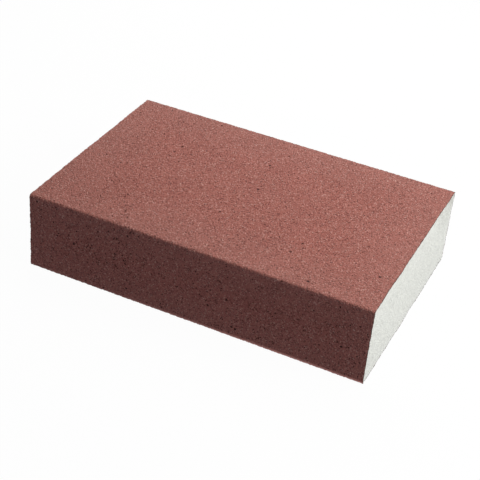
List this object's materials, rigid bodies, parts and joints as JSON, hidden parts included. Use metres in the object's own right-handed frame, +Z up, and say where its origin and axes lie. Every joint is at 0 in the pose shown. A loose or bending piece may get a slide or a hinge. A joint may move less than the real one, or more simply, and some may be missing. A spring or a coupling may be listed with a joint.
{
  "type": "sanding block",
  "caption": "Rectangular hand sanding block: a firm foam core with an abrasive coat on its wide and narrow faces, and bare foam at the two cut ends.",
  "frame": {"origin": "middle of the bottom wide face, on the surface that the block rests on", "axes": "+X along the length towards one cut end, +Y across the width from the front narrow face to the back one, +Z up through the height"},
  "size_m": [0.107, 0.07, 0.025],
  "materials": {
    "foam": "matte",
    "bond_resin": "matte",
    "grit": "matte"
  },
  "bodies": {
    "root": {"foam_core": "foam", "top_bond_coat": "bond_resin", "bottom_bond_coat": "bond_resin", "front_bond_coat": "bond_resin", "back_bond_coat": "bond_resin", "top_grit_coat": "grit", "bottom_grit_coat": "grit", "front_grit_coat": "grit", "back_grit_coat": "grit"}
  },
  "joints": []
}
